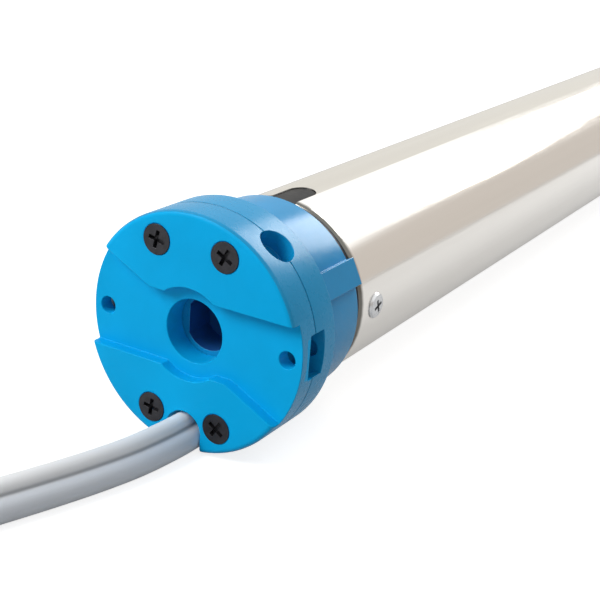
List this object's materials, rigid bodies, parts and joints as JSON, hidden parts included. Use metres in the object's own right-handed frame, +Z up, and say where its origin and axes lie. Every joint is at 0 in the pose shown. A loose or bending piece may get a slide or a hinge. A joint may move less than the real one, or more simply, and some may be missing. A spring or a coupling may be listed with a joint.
{
  "type": "tubular roller blind motor",
  "caption": "Tubular motor for a roller blind: round head with a bracket recess, crown ring, metal tube with gearbox and brake inside, drive wheel and a lead.",
  "frame": {"origin": "centre of the recess floor in the head's front, on the motor's axis, where the wall bracket seats", "axes": "+X along the motor from the head to the output, +Y to the left seen from the output end with +Z up, +Z up"},
  "size_m": [0.6765, 0.0773, 0.054],
  "materials": {
    "cyan_blue_plastic": "moulded, satin",
    "grey_blue_plastic": "moulded, satin",
    "black_plastic": "moulded",
    "white_plastic": "moulded",
    "red_plastic": "moulded",
    "board_green": "coated board",
    "cable_sheath": "smooth matt sheath",
    "core_insulation": "smooth insulation",
    "rubber_black": "matt",
    "dark_steel": "black phosphated",
    "steel": "zinc plated",
    "nickel_tube": "nickel plated, satin",
    "cast_alloy": "die cast",
    "bronze": "sintered",
    "copper": "enamelled wire",
    "friction_lining": "matt lining on a hub"
  },
  "bodies": {
    "motor": {"head_cover": "cyan_blue_plastic", "head_body": "cyan_blue_plastic", "head_neck": "black_plastic", "face_screws": "dark_steel", "cable_entry": "cable_sheath", "cable_wedge": "white_plastic", "cable_lead": "cable_sheath", "cable_hank": "cable_sheath", "cable_tie": "rubber_black", "cable_end_cores": "core_insulation", "inner_cores": "core_insulation", "limit_housing": "black_plastic", "limit_switches": "black_plastic", "terminal_board": "board_green", "terminal_block": "board_green", "capacitor": "white_plastic", "capacitor_rings": "rubber_black", "motor_wires": "core_insulation", "motor_tube": "nickel_tube", "tube_screws": "steel", "front_bell": "cast_alloy", "rear_bell": "cast_alloy", "shaft_bushes": "bronze", "stator_core": "steel", "stator_windings": "copper", "brake_yoke": "steel", "brake_coil": "copper", "brake_spring": "steel", "gear_flange": "steel", "gear_housing": "steel", "output_bearings": "bronze", "end_cap": "black_plastic"},
    "crown": {"crown_ring": "grey_blue_plastic"},
    "limit_screw_up": {"limit_screw_up": "white_plastic"},
    "limit_screw_down": {"limit_screw_down": "white_plastic"},
    "limit_nut_up": {"limit_nut_up": "red_plastic"},
    "limit_nut_down": {"limit_nut_down": "red_plastic"},
    "limit_adjuster_up": {"limit_adjuster_up": "cyan_blue_plastic"},
    "limit_adjuster_down": {"limit_adjuster_down": "cyan_blue_plastic"},
    "switch_lever_up": {"switch_lever_up": "steel"},
    "switch_lever_down": {"switch_lever_down": "steel"},
    "rotor": {"rotor_core": "steel", "rotor_end_rings": "cast_alloy", "motor_shaft": "steel", "brake_disc": "friction_lining"},
    "brake_armature": {"brake_armature": "steel"},
    "carrier_1": {"stage_1_carrier": "steel"},
    "carrier_2": {"stage_2_carrier": "steel"},
    "output": {"output_shaft": "steel", "drive_wheel": "cyan_blue_plastic", "wheel_screw": "steel"},
    "planet_1a": {"stage_1_planet_a": "white_plastic"},
    "planet_1b": {"stage_1_planet_b": "white_plastic"},
    "planet_1c": {"stage_1_planet_c": "white_plastic"},
    "planet_2a": {"stage_2_planet_a": "white_plastic"},
    "planet_2b": {"stage_2_planet_b": "white_plastic"},
    "planet_2c": {"stage_2_planet_c": "white_plastic"},
    "planet_3a": {"stage_3_planet_a": "steel"},
    "planet_3b": {"stage_3_planet_b": "steel"},
    "planet_3c": {"stage_3_planet_c": "steel"}
  },
  "joints": [
    {"name": "output_spin", "type": "hinge", "parent": "motor", "child": "output", "pos_m": [0.42641, 0, 0], "axis": [1, 0, 0], "continuous": true},
    {"name": "carrier_2_spin", "type": "hinge", "parent": "motor", "child": "carrier_2", "pos_m": [0.38401, 0, 0], "axis": [1, 0, 0], "continuous": true},
    {"name": "carrier_1_spin", "type": "hinge", "parent": "motor", "child": "carrier_1", "pos_m": [0.36501, 0, 0], "axis": [1, 0, 0], "continuous": true},
    {"name": "rotor_spin", "type": "hinge", "parent": "motor", "child": "rotor", "pos_m": [0.26411, 0, 0], "axis": [1, 0, 0], "continuous": true},
    {"name": "planet_1a_spin", "type": "hinge", "parent": "carrier_1", "child": "planet_1a", "pos_m": [0.35501, 0.0108, 0], "axis": [1, 0, 0], "continuous": true},
    {"name": "planet_1b_spin", "type": "hinge", "parent": "carrier_1", "child": "planet_1b", "pos_m": [0.35501, -0.0054, 0.00935], "axis": [1, 0, 0], "continuous": true},
    {"name": "planet_1c_spin", "type": "hinge", "parent": "carrier_1", "child": "planet_1c", "pos_m": [0.35501, -0.0054, -0.00935], "axis": [1, 0, 0], "continuous": true},
    {"name": "planet_2a_spin", "type": "hinge", "parent": "carrier_2", "child": "planet_2a", "pos_m": [0.37401, 0.0108, 0], "axis": [1, 0, 0], "continuous": true},
    {"name": "planet_2b_spin", "type": "hinge", "parent": "carrier_2", "child": "planet_2b", "pos_m": [0.37401, -0.0054, 0.00935], "axis": [1, 0, 0], "continuous": true},
    {"name": "planet_2c_spin", "type": "hinge", "parent": "carrier_2", "child": "planet_2c", "pos_m": [0.37401, -0.0054, -0.00935], "axis": [1, 0, 0], "continuous": true},
    {"name": "planet_3a_spin", "type": "hinge", "parent": "output", "child": "planet_3a", "pos_m": [0.39301, 0.0108, 0], "axis": [1, 0, 0], "continuous": true},
    {"name": "planet_3b_spin", "type": "hinge", "parent": "output", "child": "planet_3b", "pos_m": [0.39301, -0.0054, 0.00935], "axis": [1, 0, 0], "continuous": true},
    {"name": "planet_3c_spin", "type": "hinge", "parent": "output", "child": "planet_3c", "pos_m": [0.39301, -0.0054, -0.00935], "axis": [1, 0, 0], "continuous": true},
    {"name": "crown_spin", "type": "hinge", "parent": "motor", "child": "crown", "pos_m": [0.02205, 0, 0], "axis": [1, 0, 0], "range_deg": [-3330, 3330]},
    {"name": "limit_screw_up_spin", "type": "hinge", "parent": "motor", "child": "limit_screw_up", "pos_m": [0.07636, 0.008, 0.01386], "axis": [1, 0, 0], "range_deg": [-15450, 15450]},
    {"name": "limit_nut_up_travel", "type": "slide", "parent": "motor", "child": "limit_nut_up", "axis": [1, 0, 0], "range_m": [-0.0172, 0.0172]},
    {"name": "limit_screw_down_spin", "type": "hinge", "parent": "motor", "child": "limit_screw_down", "pos_m": [0.07636, -0.008, 0.01386], "axis": [1, 0, 0], "range_deg": [-15450, 15450]},
    {"name": "limit_nut_down_travel", "type": "slide", "parent": "motor", "child": "limit_nut_down", "axis": [1, 0, 0], "range_m": [-0.0172, 0.0172]},
    {"name": "limit_adjuster_up_turn", "type": "hinge", "parent": "motor", "child": "limit_adjuster_up", "pos_m": [0.0056, 0.01181, 0.01614], "axis": [0, 0.5906, 0.807], "continuous": true},
    {"name": "limit_adjuster_down_turn", "type": "hinge", "parent": "motor", "child": "limit_adjuster_down", "pos_m": [0.0056, -0.01181, 0.01614], "axis": [0, -0.5906, 0.807], "continuous": true},
    {"name": "switch_lever_down_press", "type": "hinge", "parent": "motor", "child": "switch_lever_down", "pos_m": [0.0555, -0.00205, 0.00355], "axis": [0, 0.866, 0.5], "range_deg": [-5, 0], "stiffness_Nm_per_rad": 0.005},
    {"name": "switch_lever_up_press", "type": "hinge", "parent": "motor", "child": "switch_lever_up", "pos_m": [0.09721, 0.00205, 0.00355], "axis": [0, 0.866, -0.5], "range_deg": [0, 5], "stiffness_Nm_per_rad": 0.005},
    {"name": "brake_release", "type": "slide", "parent": "motor", "child": "brake_armature", "axis": [1, 0, 0], "range_m": [-0.00035, 0], "stiffness_N_per_m": 2000, "springref_m": 0.0005, "deforming": ["brake_spring"]}
  ],
  "couplings": [
    {"joint": "carrier_2_spin", "follows": "output_spin", "ratio": 5.4},
    {"joint": "carrier_1_spin", "follows": "output_spin", "ratio": 29.16},
    {"joint": "rotor_spin", "follows": "output_spin", "ratio": 157.46},
    {"joint": "planet_1a_spin", "follows": "output_spin", "ratio": -75.473},
    {"joint": "planet_1b_spin", "follows": "output_spin", "ratio": -75.473},
    {"joint": "planet_1c_spin", "follows": "output_spin", "ratio": -75.473},
    {"joint": "planet_2a_spin", "follows": "output_spin", "ratio": -13.976},
    {"joint": "planet_2b_spin", "follows": "output_spin", "ratio": -13.976},
    {"joint": "planet_2c_spin", "follows": "output_spin", "ratio": -13.976},
    {"joint": "planet_3a_spin", "follows": "output_spin", "ratio": -2.5882},
    {"joint": "planet_3b_spin", "follows": "output_spin", "ratio": -2.5882},
    {"joint": "planet_3c_spin", "follows": "output_spin", "ratio": -2.5882},
    {"joint": "limit_screw_up_spin", "follows": "crown_spin", "ratio": 4.6364},
    {"joint": "limit_nut_up_travel", "follows": "crown_spin", "m_per_rad": -0.00029516},
    {"joint": "limit_screw_down_spin", "follows": "crown_spin", "ratio": 4.6364},
    {"joint": "limit_nut_down_travel", "follows": "crown_spin", "m_per_rad": -0.00029516}
  ]
}
